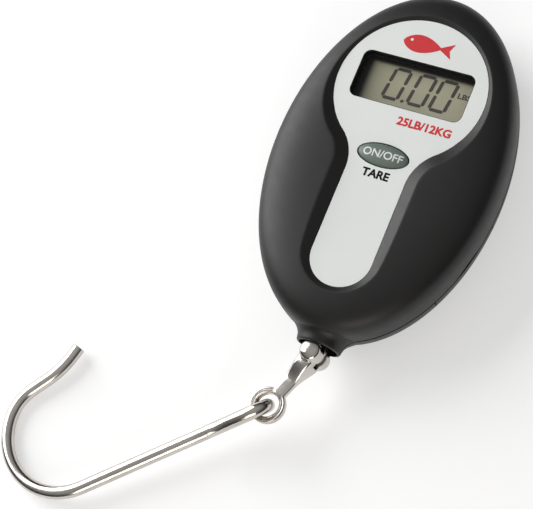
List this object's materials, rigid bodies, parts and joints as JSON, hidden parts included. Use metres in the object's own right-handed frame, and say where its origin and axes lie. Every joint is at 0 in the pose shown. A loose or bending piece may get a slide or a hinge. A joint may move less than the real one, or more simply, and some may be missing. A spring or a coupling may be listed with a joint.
{
  "type": "digital fish scale",
  "caption": "Handheld digital fish scale: egg-shaped housing with a keyhole faceplate, recessed display, push button, side battery drawer and a swivelling link that carries a wire hook.",
  "frame": {"origin": "centre of the housing's flat back face, on the surface that the scale lies on", "axes": "+Z comes out of the display, +Y points to the top of the display, +X to the display's right, and the hook hangs off the -Y end"},
  "size_m": [0.0977, 0.1441, 0.0221],
  "materials": {
    "shell": "soft-touch charcoal",
    "faceplate": "off-white satin film",
    "clear_window": "clear polycarbonate",
    "lcd": "olive-grey liquid crystal panel",
    "dark_plastic": "moulded black",
    "contact_rubber": "layered conductive rubber",
    "circuit_board": "green solder mask",
    "button_rubber": "grey-green moulded rubber",
    "load_cell_metal": "milled",
    "gauge_film": "amber polyimide film",
    "steel": "plain stainless",
    "bright_metal": "polished stainless",
    "brass_spring": "spring brass"
  },
  "bodies": {
    "housing": {"front_shell": "shell", "rear_shell": "shell", "faceplate": "faceplate", "window_lens": "clear_window", "lcd_frame": "dark_plastic", "lcd_panel": "lcd", "contact_strip_upper": "contact_rubber", "contact_strip_lower": "contact_rubber", "main_board": "circuit_board", "controller_chip": "dark_plastic", "crystal_can": "steel", "switch_base": "steel", "load_cell": "load_cell_metal", "strain_gauge_left": "gauge_film", "strain_gauge_right": "gauge_film", "gauge_flex": "gauge_film", "load_cell_screw_left": "steel", "load_cell_screw_right": "steel", "housing_screw_1": "steel", "housing_screw_2": "steel", "housing_screw_3": "steel", "housing_screw_4": "steel", "battery_contact_lower": "brass_spring", "battery_contact_upper": "brass_spring", "neck_bush": "dark_plastic"},
    "button": {"power_button": "button_rubber"},
    "plunger": {"switch_plunger": "dark_plastic"},
    "drawer": {"battery_drawer": "shell", "coin_cell": "steel"},
    "swivel": {"swivel_stud": "steel", "thrust_washer": "steel", "stud_nut": "steel"},
    "link": {"link": "bright_metal", "pivot_pin": "bright_metal"},
    "hook": {"hook": "bright_metal"}
  },
  "joints": [
    {"name": "button_press", "type": "slide", "parent": "housing", "child": "button", "axis": [0, 0, -1], "range_m": [0, 0.0004], "stiffness_N_per_m": 1500, "springref_m": -0.0003},
    {"name": "plunger_press", "type": "slide", "parent": "housing", "child": "plunger", "axis": [0, 0, -1], "range_m": [0, 0.0004]},
    {"name": "drawer_slide", "type": "slide", "parent": "housing", "child": "drawer", "axis": [0.9681, -0.2504, 0], "range_m": [0, 0.022]},
    {"name": "neck_swivel", "type": "hinge", "parent": "housing", "child": "swivel", "pos_m": [0, -0.0432, 0.011], "axis": [0, 1, 0], "continuous": true},
    {"name": "link_pivot", "type": "hinge", "parent": "swivel", "child": "link", "pos_m": [0, -0.0482, 0.011], "axis": [-0.0937, 0, 0.9956], "range_deg": [-27, 72]},
    {"name": "hook_swing", "type": "hinge", "parent": "link", "child": "hook", "pos_m": [-0.006, -0.06261, 0.01043], "axis": [-0.0937, 0, 0.9956], "range_deg": [-24, 120]}
  ],
  "couplings": [
    {"joint": "plunger_press", "follows": "button_press", "ratio": 1}
  ]
}
